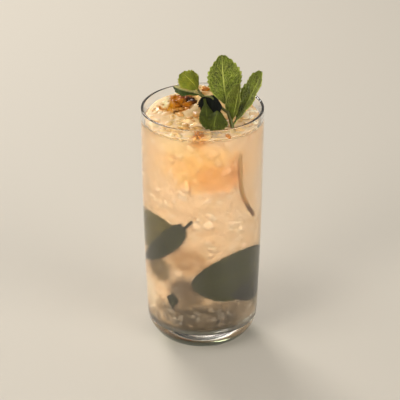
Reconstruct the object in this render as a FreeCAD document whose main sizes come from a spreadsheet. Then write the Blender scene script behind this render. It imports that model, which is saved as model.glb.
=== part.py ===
"""A mint and crushed ice long drink in a straight highball glass.

Millimetres, +Z up. The origin is the centre of the glass's foot on the table, and the glass's
front, where the leaves lean over the rim, faces -Y.
"""

import FreeCAD
import Part
import math
import os
import random

from FreeCAD import Vector

GLASS_SIZES = {
    "GlassHeight": (142.0, "foot to rim"),
    "RimRadius": (35.0, "outside of the rim"),
    "RimWall": (1.5, "wall at the rim"),
    "RimRounding": (0.6, "fire polish on both rim edges"),
    "WallBowRadius": (2700.0, "long arc of the outer wall, upright at the rim"),
    "InnerBowRadius": (2250.0, "long arc of the inner wall, upright at the rim"),
    "HeelRadius": (20.0, "round of the heel between wall and foot"),
    "HeelCentreHeight": (16.0, "height of the heel round's centre"),
    "FootRounding": (1.2, "edge of the foot"),
    "FloorHeight": (9.5, "thick glass under the drink"),
    "FloorCornerRadius": (9.0, "round of the inner floor corner"),
    "PuntRadius": (17.0, "hollow under the foot"),
    "PuntDepth": (0.9, "hollow under the foot"),
    "CutOvershoot": (2.0, "how far the cavity cut runs past the rim"),
}
DRINK_SIZES = {
    "DrinkLevel": (134.5, "height of the liquid's surface"),
    "HeapGap": (0.4, "ice heap to the glass"),
    "HeapEdgeRise": (1.3, "ice above the liquid at the wall"),
    "HeapMoundRise": (8.5, "height that the mound adds"),
    "HeapHollow": (0.6, "share of the mound that is missing under the amber lump"),
    "HeapMoundSpread": (13.5, "width of the mound"),
    "HeapMoundX": (1.0, "top of the mound"),
    "HeapMoundY": (17.0, "top of the mound"),
    "HeapRelief": (0.9, "unevenness of the crushed ice"),
    "ChunkSize": (3.6, "size of the crushed ice facets"),
    "AmberX": (-12.2, "centre of the amber lump"),
    "AmberY": (10.5, "centre of the amber lump"),
    "AmberRadius": (9.5, "amber lump"),
    "AmberSeat": (137.0, "underside of the amber lump"),
    "AmberRise": (6.3, "amber lump above its seat at the middle"),
    "AmberRelief": (1.1, "unevenness of the amber lump"),
}
SPRIG_SIZES = {
    "StemThickness": (2.4, "square stem"),
    "ShootThickness": (1.7, "side shoot"),
    "PetioleWidth": (1.5, "leaf stalk"),
    "LeafThickness": (0.7, "leaf at its midrib"),
    "LeafEdge": (0.3, "leaf at its edge"),
    "ToothDepth": (0.045, "saw edge, as a share of the half width"),
}
# Where the stem and the side shoot pass, from below.
STEM_PLACES = {
    "StemFoot": (26.8, -13.0, 81.0),
    "StemLow": (24.0, -18.8, 90.0),
    "StemMiddle": (21.2, -22.4, 101.0),
    "StemHigh": (20.2, -23.2, 119.0),
    "StemCollar": (17.6, -18.2, 134.0),
    "StemTop": (14.2, -13.6, 145.4),
}
SHOOT_PLACES = {
    "ShootFoot": (14.4, -13.9, 144.2),
    "ShootMiddle": (10.4, -13.0, 147.2),
    "ShootBend": (5.2, -9.8, 151.8),
    "ShootTop": (0.4, -7.2, 151.4),
}
# Each leaf: where its stalk starts, its tip, its full width, how far its midrib bows towards the
# upper face, how far its halves fold and turn in degrees, where along the blade it is widest, how
# slim its ends are, and the share of its length that is stalk.
LEAF_PARTS = (
    "StartX", "StartY", "StartZ", "TipX", "TipY", "TipZ",
    "Width", "Bow", "Fold", "Turn", "Belly", "Slimness", "Stalk",
)
LEAVES = {
    "Tall": (14.4, -13.6, 144.6, 10.8, -5.0, 175.6, 21.0, -1.5, 10.0, 0.0, 0.52, 0.72, 0.12),
    "Right": (16.8, -16.2, 137.2, 33.2, -9.0, 167.2, 17.5, -1.0, 12.0, -2.0, 0.56, 0.52, 0.12),
    "Inner": (16.2, -15.8, 138.8, 20.6, -12.0, 161.0, 12.0, -0.6, 34.0, 8.0, 0.45, 0.72, 0.12),
    "Front": (10.2, -13.1, 147.0, 6.4, -24.2, 137.2, 15.0, 4.0, -20.0, 0.0, 0.66, 0.55, 0.12),
    "Shaded": (7.4, -9.4, 154.6, 3.8, -13.6, 142.0, 17.0, 0.8, 8.0, 0.0, 0.50, 0.70, 0.12),
    "Hanging": (2.4, -8.4, 151.5, 3.0, -21.6, 137.4, 9.0, 2.0, -14.0, 0.0, 0.60, 0.70, 0.12),
    "Round": (0.6, -7.2, 151.4, -11.6, -1.0, 163.3, 13.0, 1.2, -10.0, -26.0, 0.55, 0.50, 0.30),
    "Low": (0.6, -7.4, 151.0, -16.2, 2.0, 153.8, 11.5, 2.2, -38.0, 2.0, 0.55, 0.70, 0.12),
}
LEAF_TEETH = 7
SECTIONS_PER_TOOTH = 3

doc = FreeCAD.newDocument("MintLongDrink")
sheet = doc.addObject("Spreadsheet::Sheet", "Sizes")


# ------------------------------------------------------------------ the sheet of sizes


def fill_sheet():
    """One row for each size: its alias, its value and what it is."""
    rows = []
    for table in (GLASS_SIZES, DRINK_SIZES, SPRIG_SIZES):
        rows += [(alias, value, note) for alias, (value, note) in table.items()]
    for places in (STEM_PLACES, SHOOT_PLACES):
        for name, place in places.items():
            rows += [(name + axis, value, "route") for axis, value in zip("XYZ", place)]
    for name, values in LEAVES.items():
        rows += [(f"{name}Leaf{part}", value, "leaf") for part, value in zip(LEAF_PARTS, values)]
    for number, (alias, value, note) in enumerate(rows, start=1):
        sheet.set(f"A{number}", alias)
        sheet.set(f"B{number}", str(value))
        sheet.set(f"C{number}", note)
        sheet.setAlias(f"B{number}", alias)
    doc.recompute()


def size(alias):
    return float(sheet.get(alias))


def place(name):
    return Vector(*(size(name + axis) for axis in "XYZ"))


# ------------------------------------------------------------------ sketch helpers


def base_plane(body, role):
    return next(f for f in body.Origin.OriginFeatures if f.Role == role)


def profile_sketch(body, name):
    """A sketch on the body's XZ plane, where a turned profile is drawn."""
    sketch = body.newObject("Sketcher::SketchObject", name)
    sketch.AttachmentSupport = [(base_plane(body, "XZ_Plane"), "")]
    sketch.MapMode = "FlatFace"
    return sketch


def line(sketch, x0, y0, x1, y1):
    return sketch.addGeometry(Part.LineSegment(Vector(x0, y0, 0), Vector(x1, y1, 0)), False)


def arc(sketch, centre_x, centre_y, radius, start, end):
    circle = Part.Circle(Vector(centre_x, centre_y, 0), Vector(0, 0, 1), radius)
    return sketch.addGeometry(Part.ArcOfCircle(circle, start, end), False)


def hold(sketch, *terms):
    from Sketcher import Constraint

    return sketch.addConstraint(Constraint(*terms))


def hold_size(sketch, name, expression, *terms):
    """A dimension that is bound to the sheet."""
    number = hold(sketch, *terms)
    sketch.renameConstraint(number, name)
    sketch.setExpression(f"Constraints.{name}", expression)


def close_loop(sketch, edges, smooth=()):
    """Joins each edge's end to the next one's start; the edges in smooth run on without a corner."""
    for edge, following in zip(edges, edges[1:] + edges[:1]):
        joint = "Tangent" if edge in smooth else "Coincident"
        hold(sketch, joint, edge, 2, following, 1)


def turned(body, kind, sketch, name):
    feature = body.newObject(f"PartDesign::{kind}", name)
    feature.Profile = sketch
    feature.ReferenceAxis = (sketch, ["V_Axis"])
    feature.Angle = 360.0
    sketch.Visibility = False
    return feature


def round_meeting(wall_radius, wall_centre_x, wall_centre_y, round_radius, round_centre_y):
    """Centre of a round that runs into a long wall arc from inside, and the angle where they meet."""
    reach = wall_radius - round_radius
    centre_x = wall_centre_x + math.sqrt(reach**2 - (wall_centre_y - round_centre_y) ** 2)
    return centre_x, math.atan2(round_centre_y - wall_centre_y, centre_x - wall_centre_x)


# ------------------------------------------------------------------ the glass


def outer_profile(sketch):
    """Foot, heel round, long wall arc, rim and axis, closed."""
    height, radius, bow = size("GlassHeight"), size("RimRadius"), size("WallBowRadius")
    heel, heel_y = size("HeelRadius"), size("HeelCentreHeight")
    heel_x, meeting = round_meeting(bow, radius - bow, height, heel, heel_y)
    foot_angle = -math.asin(heel_y / heel)
    foot_x = heel_x + heel * math.cos(foot_angle)
    foot = line(sketch, 0, 0, foot_x, 0)
    heel_arc = arc(sketch, heel_x, heel_y, heel, foot_angle, meeting)
    wall = arc(sketch, radius - bow, height, bow, meeting, 0)
    rim = line(sketch, radius, height, 0, height)
    axis = line(sketch, 0, height, 0, 0)
    close_loop(sketch, [foot, heel_arc, wall, rim, axis], smooth=(heel_arc,))
    hold(sketch, "Coincident", foot, 1, -1, 1)
    hold(sketch, "Horizontal", foot)
    hold(sketch, "Horizontal", rim)
    hold(sketch, "Vertical", axis)
    hold(sketch, "Horizontal", wall, 3, wall, 2)
    hold_size(sketch, "Height", "Sizes.GlassHeight", "DistanceY", axis, 2, axis, 1, height)
    hold_size(sketch, "Rim", "Sizes.RimRadius", "DistanceX", rim, 2, rim, 1, radius)
    hold_size(sketch, "Bow", "Sizes.WallBowRadius", "Radius", wall, bow)
    hold_size(sketch, "Heel", "Sizes.HeelRadius", "Radius", heel_arc, heel)
    hold_size(
        sketch, "HeelHeight", "Sizes.HeelCentreHeight", "DistanceY", -1, 1, heel_arc, 3, heel_y
    )


def inner_wall_x(level):
    """Radius of the cavity at a height."""
    bow = size("InnerBowRadius")
    centre_x = size("RimRadius") - size("RimWall") - bow
    return centre_x + math.sqrt(bow**2 - (size("GlassHeight") - level) ** 2)


def cavity_profile(sketch, top_expression, top):
    """Floor, corner round, long inner wall arc, top and axis, closed."""
    height, bow = size("GlassHeight"), size("InnerBowRadius")
    floor, corner = size("FloorHeight"), size("FloorCornerRadius")
    wall_x = size("RimRadius") - size("RimWall") - bow
    corner_y = floor + corner
    corner_x, meeting = round_meeting(bow, wall_x, height, corner, corner_y)
    top_x = inner_wall_x(top)
    top_angle = math.atan2(top - height, top_x - wall_x)
    bottom = line(sketch, 0, floor, corner_x, floor)
    corner_arc = arc(sketch, corner_x, corner_y, corner, -math.pi / 2, meeting)
    wall = arc(sketch, wall_x, height, bow, meeting, top_angle)
    lid = line(sketch, top_x, top, 0, top)
    axis = line(sketch, 0, top, 0, floor)
    close_loop(sketch, [bottom, corner_arc, wall, lid, axis], smooth=(bottom, corner_arc))
    hold(sketch, "PointOnObject", bottom, 1, -2)
    hold(sketch, "Horizontal", bottom)
    hold(sketch, "Horizontal", lid)
    hold(sketch, "Vertical", axis)
    hold_size(sketch, "Floor", "Sizes.FloorHeight", "DistanceY", -1, 1, bottom, 1, floor)
    hold_size(sketch, "Corner", "Sizes.FloorCornerRadius", "Radius", corner_arc, corner)
    hold_size(sketch, "Bow", "Sizes.InnerBowRadius", "Radius", wall, bow)
    hold_size(sketch, "BowHeight", "Sizes.GlassHeight", "DistanceY", -1, 1, wall, 3, height)
    hold_size(
        sketch,
        "BowCentre",
        "Sizes.InnerBowRadius + Sizes.RimWall - Sizes.RimRadius",
        "DistanceX",
        wall,
        3,
        -1,
        1,
        -wall_x,
    )
    hold_size(sketch, "Top", top_expression, "DistanceY", -1, 1, lid, 2, top)


def punt_profile(sketch):
    """The shallow hollow under the foot: a flat chord and a rising arc."""
    radius, depth = size("PuntRadius"), size("PuntDepth")
    curve = (radius**2 + depth**2) / (2 * depth)
    floor = line(sketch, 0, 0, radius, 0)
    dome = arc(sketch, 0, depth - curve, curve, math.atan2(curve - depth, radius), math.pi / 2)
    axis = line(sketch, 0, depth, 0, 0)
    close_loop(sketch, [floor, dome, axis])
    hold(sketch, "Coincident", floor, 1, -1, 1)
    hold(sketch, "Horizontal", floor)
    hold(sketch, "Vertical", axis)
    hold(sketch, "PointOnObject", dome, 3, -2)
    hold_size(sketch, "Radius", "Sizes.PuntRadius", "DistanceX", floor, 1, floor, 2, radius)
    hold_size(sketch, "Depth", "Sizes.PuntDepth", "DistanceY", axis, 2, axis, 1, depth)


def ring_edges(shape, height):
    """Names and radii of the circles round the axis at a height."""
    rings = {}
    for number, edge in enumerate(shape.Edges, start=1):
        if edge.Degenerated or not isinstance(edge.Curve, Part.Circle):
            continue
        centre = edge.Curve.Center
        if math.dist(centre, (0, 0, height)) < 0.01:
            rings[f"Edge{number}"] = edge.Curve.Radius
    return rings


def rounded(body, base, edges, name, radius_alias):
    fillet = body.newObject("PartDesign::Fillet", name)
    fillet.Base = (base, edges)
    fillet.Radius = size(radius_alias)
    fillet.setExpression("Radius", f"Sizes.{radius_alias}")
    doc.recompute()
    return fillet


def make_glass():
    body = doc.addObject("PartDesign::Body", "GlassBody")
    body.Label = "glass"
    outline = profile_sketch(body, "OuterProfile")
    outer_profile(outline)
    blank = turned(body, "Revolution", outline, "GlassBlank")
    doc.recompute()
    blank_volume = blank.Shape.Volume
    foot = rounded(body, blank, list(ring_edges(blank.Shape, 0)), "FootEdge", "FootRounding")
    cavity = profile_sketch(body, "CavityProfile")
    top = size("GlassHeight") + size("CutOvershoot")
    cavity_profile(cavity, "Sizes.GlassHeight + Sizes.CutOvershoot", top)
    hollow = turned(body, "Groove", cavity, "Cavity")
    doc.recompute()
    punt = profile_sketch(body, "PuntProfile")
    punt_profile(punt)
    under = turned(body, "Groove", punt, "Punt")
    doc.recompute()
    if not foot.Shape.Volume > hollow.Shape.Volume > under.Shape.Volume > 0.1 * blank_volume:
        raise RuntimeError("a cut of the glass took nothing away, or too much")
    rim_edges = list(ring_edges(under.Shape, size("GlassHeight")))
    rounded(body, under, rim_edges, "RimEdge", "RimRounding")
    return body


# ------------------------------------------------------------------ faceted solids


def triangle(*corners):
    return Part.Face(Part.makePolygon(list(corners) + [corners[0]]))


def faceted_solid(faces):
    """One closed solid from flat faces that meet edge to edge."""
    shell = Part.makeShell(faces)
    shell.sewShape()
    solid = Part.Solid(shell)
    if solid.Volume < 0:
        solid.reverse()
    return solid


def sleeve(rings):
    """A solid through rings that have the same number of points, closed at both ends."""
    faces = []
    for ring, following in zip(rings, rings[1:]):
        for near, (a, b) in enumerate(zip(ring, ring[1:] + ring[:1])):
            c, d = following[(near + 1) % len(ring)], following[near]
            faces += [triangle(a, b, c), triangle(a, c, d)]
    for ring in (rings[0], rings[-1]):
        faces.append(Part.Face(Part.makePolygon(ring + ring[:1])))
    return faceted_solid(faces)


# ------------------------------------------------------------------ the mint sprig


def smooth_route(points, count):
    """Evenly spread points and directions on one smooth curve through the points."""
    curve = Part.BSplineCurve()
    curve.interpolate(points)
    first, last = curve.FirstParameter, curve.LastParameter
    steps = [first + (last - first) * n / (count - 1) for n in range(count)]
    return [(curve.value(u), curve.tangent(u)[0]) for u in steps]


def square_ring(centre, along, thickness):
    """The closed section of a square stem, with its corners cut."""
    side = along.cross(Vector(0, 1, 0)).normalize()
    other = along.cross(side).normalize()
    half, cut = thickness / 2, thickness / 5
    flat = half - cut
    corners = [(half, flat), (flat, half), (-flat, half), (-half, flat)]
    corners += [(-x, -y) for x, y in corners]
    return [centre + side * x + other * y for x, y in corners]


def stem_solid(names, thickness_alias, count):
    """A square stem through the named places, a little thinner at its top."""
    route = smooth_route([place(name) for name in names], count)
    thickness = size(thickness_alias)
    rings = []
    for number, (centre, along) in enumerate(route):
        share = number / (count - 1)
        rings.append(square_ring(centre, along, thickness * (1 - 0.3 * share)))
    return sleeve(rings)


def leaf_half_width(share, width, belly, slimness, stalk_share):
    """Half width along a leaf: the stalk, then an ovate blade with a saw edge."""
    stalk = size("PetioleWidth") / 2
    if share <= stalk_share:
        return stalk
    blade = (share - stalk_share) / (1 - stalk_share)
    lean = math.log(0.5) / math.log(belly)
    ovate = math.sin(math.pi * min(blade, 0.992) ** lean) ** slimness
    tooth = 1 + size("ToothDepth") * math.sin(2 * math.pi * LEAF_TEETH * blade)
    return max(stalk * (1 - blade) + 0.15, width / 2 * ovate * tooth)


def leaf_section(centre, side, up, half, fold):
    """The closed section of a leaf: two folded halves, thick at the midrib."""
    rise, spread = math.sin(math.radians(fold)), math.cos(math.radians(fold))
    thick, edge = size("LeafThickness") / 2, size("LeafEdge") / 2
    ring = []
    for across, lift in ((-1, edge), (0, thick), (1, edge), (1, -edge), (0, -thick), (-1, -edge)):
        sideways = side * (across * half * spread)
        ring.append(centre + sideways + up * (abs(across) * half * rise + lift))
    return ring


def leaf_solid(name):
    """A bowed, folded, saw-edged leaf from its stalk to its tip."""
    def part(word):
        return size(f"{name}Leaf{word}")

    start = Vector(part("StartX"), part("StartY"), part("StartZ"))
    tip = Vector(part("TipX"), part("TipY"), part("TipZ"))
    chord = tip - start
    across = Vector(0, 0, 1).cross(chord).normalize()
    facing = chord.cross(across).normalize()
    turn = FreeCAD.Rotation(chord, part("Turn"))
    across, facing = turn.multVec(across), turn.multVec(facing)
    shape = [part(word) for word in ("Width", "Belly", "Slimness", "Stalk")]
    count = int(LEAF_TEETH * SECTIONS_PER_TOOTH / (1 - part("Stalk"))) + 2
    rings = []
    for number in range(count):
        share = number / (count - 1)
        centre = start + chord * share + facing * (part("Bow") * 4 * share * (1 - share))
        slope = chord + facing * (part("Bow") * 4 * (1 - 2 * share))
        up = slope.cross(across).normalize()
        half = leaf_half_width(share, *shape)
        rings.append(leaf_section(centre, across, up, half, part("Fold")))
    return sleeve(rings)


def make_sprig():
    """Stem, side shoot and leaves, grown together one after another as one solid."""
    grown = stem_solid(list(STEM_PLACES), "StemThickness", 16)
    shoot = stem_solid(list(SHOOT_PLACES), "ShootThickness", 9)
    for piece in [shoot] + [leaf_solid(name) for name in LEAVES]:
        volume = grown.Volume
        grown = grown.fuse(piece)
        if len(grown.Solids) != 1 or grown.Volume < volume:
            raise RuntimeError("a leaf doesn't meet the stem")
    sprig = doc.addObject("Part::Feature", "Sprig")
    sprig.Label = "mint_sprig"
    sprig.Shape = grown.Solids[0]
    return sprig


# ------------------------------------------------------------------ the drink and its ice


def make_drink(sprig):
    """The liquid with its sunk ice, to the level, cut round the stem."""
    body = doc.addObject("PartDesign::Body", "DrinkBody")
    body.Label = "drink_fill"
    outline = profile_sketch(body, "DrinkProfile")
    cavity_profile(outline, "Sizes.DrinkLevel", size("DrinkLevel"))
    turned(body, "Revolution", outline, "DrinkTurned")
    drink = doc.addObject("Part::Cut", "Drink")
    drink.Label = "drink"
    drink.Base = body
    drink.Tool = sprig
    doc.recompute()
    return drink


def faceted_heap(outline, top, floor, rings, sectors, seed):
    """A closed heap: a flat floor, short upright sides and an uneven faceted top.

    outline(angle) is the radius, and top(x, y) the height before the facets' unevenness,
    which the caller adds through the random source it is given."""
    source = random.Random(seed)
    grid = []
    for ring in range(1, rings + 1):
        row = []
        for sector in range(sectors):
            inner = ring < rings
            turn = (sector + (source.uniform(-0.32, 0.32) if inner else 0)) / sectors
            share = (ring + (source.uniform(-0.3, 0.3) if inner else 0)) / rings
            angle = 2 * math.pi * turn
            radius = outline(angle) * share
            x, y = radius * math.cos(angle), radius * math.sin(angle)
            row.append(Vector(x, y, top(x, y, source)))
        grid.append(row)
    middle = Vector(0, 0, top(0, 0, source))
    grid.append([Vector(point.x, point.y, floor) for point in grid[-1]])
    faces = [Part.Face(Part.makePolygon(grid[-1] + grid[-1][:1]))]
    for sector in range(sectors):
        following = (sector + 1) % sectors
        faces.append(triangle(middle, grid[0][sector], grid[0][following]))
        for inner, outer in zip(grid, grid[1:]):
            faces.append(triangle(inner[sector], outer[sector], outer[following]))
            faces.append(triangle(inner[sector], outer[following], inner[following]))
    return faceted_solid(faces)


def amber_shape():
    """The lump of crushed ice that the amber syrup has soaked, in its own place."""
    radius, relief = size("AmberRadius"), size("AmberRelief")
    seat, rise = size("AmberSeat"), size("AmberRise")

    def outline(angle):
        return radius * (1 + 0.10 * math.sin(2 * angle + 0.7) + 0.07 * math.sin(5 * angle))

    def top(x, y, source):
        share = math.hypot(x, y) / radius
        lean = 0.13 * (y - 0.35 * x)
        dome = rise * (1 - 0.72 * min(share, 1.2) ** 2)
        return seat + max(0.8, dome + lean + source.uniform(-relief, relief))

    lump = faceted_heap(outline, top, seat, 5, 18, seed=7)
    lump.translate(Vector(size("AmberX"), size("AmberY"), 0))
    return lump


def heap_shape():
    """The crushed ice that stands out of the liquid, higher towards the back."""
    level, relief = size("DrinkLevel"), size("HeapRelief")
    radius = inner_wall_x(level) - size("HeapGap")
    spread = size("HeapMoundSpread")
    rings = max(4, round(radius / size("ChunkSize")))
    sectors = max(12, round(2 * math.pi * radius / size("ChunkSize") * 0.7))

    def top(x, y, source):
        away = math.hypot(x - size("HeapMoundX"), y - size("HeapMoundY"))
        mound = size("HeapMoundRise") * math.exp(-((away / spread) ** 2) / 2)
        amber_away = math.hypot(x - size("AmberX"), y - size("AmberY")) / size("AmberRadius")
        mound *= 1 - size("HeapHollow") * max(0.0, min(1.0, (1 - amber_away) / 0.3))
        wall_room = min(1.0, (radius - math.hypot(x, y)) / size("ChunkSize"))
        uneven = source.uniform(-relief, relief) * (0.4 + 0.6 * max(0.0, wall_room))
        return level + size("HeapEdgeRise") + mound + uneven

    return faceted_heap(lambda angle: radius, top, level, rings, sectors, seed=11)


def make_ice(sprig):
    amber = doc.addObject("Part::Feature", "AmberIce")
    amber.Label = "amber_ice"
    amber.Shape = amber_shape().cut(sprig.Shape)
    heap = doc.addObject("Part::Feature", "IceHeap")
    heap.Label = "ice_heap"
    heap.Shape = heap_shape().cut([amber.Shape, sprig.Shape])
    return amber, heap


# ------------------------------------------------------------------ checks and files


def check(parts):
    for item in doc.Objects:
        if "Invalid" in item.State or "Error" in item.State:
            raise RuntimeError(f"{item.Label} failed: {item.State}")
    for item in parts:
        shape = item.Shape
        if shape.isNull() or not shape.isValid() or not shape.Solids:
            raise RuntimeError(f"{item.Label} is not a valid solid")
        box = shape.BoundBox
        print(
            f"{item.Label}: {len(shape.Solids)} solid, {len(shape.Faces)} faces,"
            f" {shape.Volume / 1000:.2f} cm3, z {box.ZMin:.2f} to {box.ZMax:.2f},"
            f" x {box.XMin:.2f} to {box.XMax:.2f}, y {box.YMin:.2f} to {box.YMax:.2f}"
        )


def export(parts):
    os.makedirs("parts", exist_ok=True)
    for item in parts:
        item.Shape.exportStep(f"parts/{item.Label}.step")


fill_sheet()
mint_sprig = make_sprig()
glass = make_glass()
drink_cut = make_drink(mint_sprig)
amber_ice, ice_heap = make_ice(mint_sprig)
doc.recompute()
sub_parts = [glass, drink_cut, ice_heap, amber_ice, mint_sprig]
check(sub_parts)
export(sub_parts)
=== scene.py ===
import math
import random

import bmesh
import bpy
from mathutils import Matrix, Vector, noise


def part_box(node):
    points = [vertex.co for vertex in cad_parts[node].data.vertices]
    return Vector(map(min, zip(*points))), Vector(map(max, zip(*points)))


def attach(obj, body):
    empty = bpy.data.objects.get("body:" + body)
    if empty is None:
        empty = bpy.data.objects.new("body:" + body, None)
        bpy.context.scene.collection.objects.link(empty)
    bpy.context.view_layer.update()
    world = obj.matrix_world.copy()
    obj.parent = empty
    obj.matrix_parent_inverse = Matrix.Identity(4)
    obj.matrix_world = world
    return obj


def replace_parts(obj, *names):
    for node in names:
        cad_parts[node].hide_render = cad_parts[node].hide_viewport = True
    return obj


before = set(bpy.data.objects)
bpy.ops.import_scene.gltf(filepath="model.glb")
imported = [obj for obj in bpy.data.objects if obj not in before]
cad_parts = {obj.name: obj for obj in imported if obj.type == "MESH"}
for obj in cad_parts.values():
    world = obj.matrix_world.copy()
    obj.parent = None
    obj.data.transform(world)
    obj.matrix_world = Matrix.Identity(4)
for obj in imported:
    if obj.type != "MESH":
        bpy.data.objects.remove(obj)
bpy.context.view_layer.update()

MM = 0.001

# ---------------------------------------------------------------- sizes of the glass, in metres
GLASS_BOW = 2700 * MM          # long arc of the outer wall
INNER_BOW = 2250 * MM          # long arc of the inner wall
RIM_WALL = 1.5 * MM
RIM_ROUND = 0.6 * MM
HEEL_ROUND = 20 * MM
HEEL_HEIGHT = 16 * MM
FLOOR_CORNER = 9 * MM
PUNT_RADIUS = 17 * MM
PUNT_DEPTH = 0.9 * MM

RIM_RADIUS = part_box("glass")[1].x
RIM_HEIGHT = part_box("glass")[1].z
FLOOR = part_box("drink")[0].z
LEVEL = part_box("drink")[1].z
HEAP_LOW, HEAP_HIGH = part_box("ice_heap")
AMBER_LOW, AMBER_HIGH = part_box("amber_ice")

# ---------------------------------------------------------------- the mint, in millimetres
# Stem, side shoot and leaves lie where their CAD solid has them, within a millimetre or two.
STEM_ROUTE = (
    (26.8, -13.0, 81.0), (24.0, -18.8, 90.0), (21.2, -22.4, 101.0),
    (20.2, -23.2, 119.0), (17.6, -18.2, 134.0), (14.2, -13.6, 145.4),
)
SHOOT_ROUTE = ((14.4, -13.9, 144.2), (10.4, -13.0, 147.2), (5.2, -9.8, 151.8), (0.4, -7.2, 151.4))
ROUND_STALK_ROUTE = ((0.8, -7.4, 151.2), (-0.8, -6.6, 152.7), (-2.6, -5.6, 154.6))
# name: stalk's start, tip, width, bow towards the upper face, fold of the halves, turn (degrees),
# where the blade is widest, and how full its ends are (less is blunter)
LEAVES = {
    "tall": ((14.4, -13.6, 144.6), (10.8, -5.0, 175.6), 21.0, -1.5, 10.0, 0.0, 0.52, 0.72),
    "right": ((16.8, -16.2, 137.2), (33.2, -9.0, 167.2), 17.5, -1.0, 12.0, -2.0, 0.56, 0.52),
    "inner": ((16.2, -15.8, 138.8), (20.6, -12.0, 161.0), 12.0, -0.6, 34.0, 8.0, 0.45, 0.72),
    "front": ((10.2, -13.1, 147.0), (6.4, -24.2, 137.2), 15.0, 4.0, -20.0, 0.0, 0.66, 0.55),
    "shaded": ((7.4, -9.4, 154.6), (3.8, -13.6, 142.0), 17.0, 0.8, 8.0, 0.0, 0.5, 0.7),
    "hanging": ((1.2, -9.4, 151.0), (3.0, -21.6, 137.4), 9.0, 2.0, -14.0, 0.0, 0.6, 0.7),
    "round": ((-1.85, -5.93, 153.83), (-11.6, -1.0, 163.3), 13.5, 1.2, -10.0, -26.0, 0.55, 0.5),
    "low": ((0.6, -7.4, 151.0), (-16.2, 2.0, 153.8), 11.5, 2.2, -38.0, 2.0, 0.55, 0.7),
}
LEAF_STALK = 0.12
LEAF_TEETH = 11
VEIN_PAIRS = 8.0
VEIN_SWEEP = 3.6
# Leaves pressed against the inside of the wall, as bearing in degrees round the glass from +X and
# height in mm: base, tip, width and bend in mm, depth behind the wall in mm, belly, fullness, finish
SUNK_LEAVES = {
    "sunk_leaf_right": ((25.0, 47.5), (-101.5, 44.5), 31.0, 1.3, 0.5, 0.52, 0.58, "mint_leaf_sunk"),
    # sunk_leaf_under is a dark leaf laid where the right sunk leaf's fold lies in shade; its near-black
    # finish is painted shade.
    "sunk_leaf_under": ((20.0, 30.0), (-60.0, 35.5), 14.0, 0.0, 0.45, 0.45, 0.8, "mint_leaf_sunk_painted_shade"),
    "sunk_leaf_left": ((-100.5, 85.0), (-177.0, 47.5), 12.5, -2.0, 0.7, 0.30, 0.66, "mint_leaf_sunk"),
    "sunk_leaf_hazy": ((-112.0, 82.0), (-200.0, 61.0), 22.0, 0.0, 1.4, 0.5, 0.6, "mint_leaf_veiled"),
    "sunk_leaf_scrap": ((-123.5, 36.5), (-124.5, 25.5), 7.5, 0.0, 0.5, 0.28, 1.1, "mint_leaf_sunk"),
}

# The heap of crushed ice, and the places in mm where mint stands in it and it keeps clear.
HEAP_EDGE_RISE = 1.3 * MM
HEAP_MOUND_RISE = 8.5 * MM
HEAP_MOUND_SPREAD = 13.5 * MM
HEAP_MOUND_MIDDLE = (1 * MM, 17 * MM)
MINT_IN_ICE = ((16.8, -16.8, 137), (15.6, -15.6, 140), (5, -22, 139), (2, -20, 139), (8, -23, 139))
MINT_CLEARANCE = 3.0 * MM

CHUNK_SEED = 5
CORE_GAP = 2.7 * MM            # how far the cloudy inside keeps from the wall
CORE_SIDE = 0.84               # share of the core's rows that runs up its side
# Syrup outside the amber lump: middle in mm, spread in mm, number of chunks.
STAINS = (((4, 21), 3.6, 26), ((-0.5, -27.0), 3.2, 12), ((14.5, -26.5), 1.5, 5))


# ================================================================ small helpers


def srgb(red, green, blue):
    """A colour in 0 to 255 as the light values that shaders use."""
    values = []
    for channel in (red, green, blue):
        share = channel / 255
        values.append(share / 12.92 if share <= 0.04045 else ((share + 0.055) / 1.055) ** 2.4)
    return (*values, 1.0)


def smooth_step(low, high, value):
    share = max(0.0, min(1.0, (value - low) / (high - low)))
    return share * share * (3 - 2 * share)


def smooth_route(points, steps):
    """Places along one smooth curve through the points, as Catmull-Rom does it."""
    knots = [Vector(p) * MM for p in points]
    knots = [2 * knots[0] - knots[1]] + knots + [2 * knots[-1] - knots[-2]]
    route = []
    for a, b, c, d in zip(knots, knots[1:], knots[2:], knots[3:]):
        for step in range(steps):
            t = step / steps
            route.append(
                0.5 * (2 * b + (c - a) * t + (2 * a - 5 * b + 4 * c - d) * t * t
                       + (3 * b - a - 3 * c + d) * t * t * t)
            )
    route.append(knots[-2])
    return route


def inner_radius(height):
    """Radius of the inside of the glass at a height, down to the floor's rounded corner."""
    centre = RIM_RADIUS - RIM_WALL - INNER_BOW
    height = max(FLOOR, height)
    wall = centre + math.sqrt(INNER_BOW**2 - (RIM_HEIGHT - height) ** 2)
    corner_height = FLOOR + FLOOR_CORNER
    if height < corner_height:
        reach = math.sqrt((INNER_BOW - FLOOR_CORNER) ** 2 - (RIM_HEIGHT - corner_height) ** 2)
        drop = corner_height - height
        wall = centre + reach + math.sqrt(max(0.0, FLOOR_CORNER**2 - drop**2))
    return wall


def heap_height(x, y):
    """Top of the crushed ice: a little above the liquid at the wall, highest near the back."""
    away = math.hypot(x - HEAP_MOUND_MIDDLE[0], y - HEAP_MOUND_MIDDLE[1])
    mound = HEAP_MOUND_RISE * math.exp(-((away / HEAP_MOUND_SPREAD) ** 2) / 2)
    room = 1 - 0.75 * smooth_step(0.0, 0.3, amber_share(x, y))
    return LEVEL + HEAP_EDGE_RISE + mound * room


def new_piece(name, bm, material):
    """Makes a finished mesh a smooth-shaded object of the model."""
    bmesh.ops.recalc_face_normals(bm, faces=bm.faces)
    mesh = bpy.data.meshes.new(name)
    bm.to_mesh(mesh)
    bm.free()
    for polygon in mesh.polygons:
        polygon.use_smooth = True
    mesh.materials.append(material)
    piece = bpy.data.objects.new(name, mesh)
    bpy.context.scene.collection.objects.link(piece)
    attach(piece, "root")
    return piece


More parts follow.
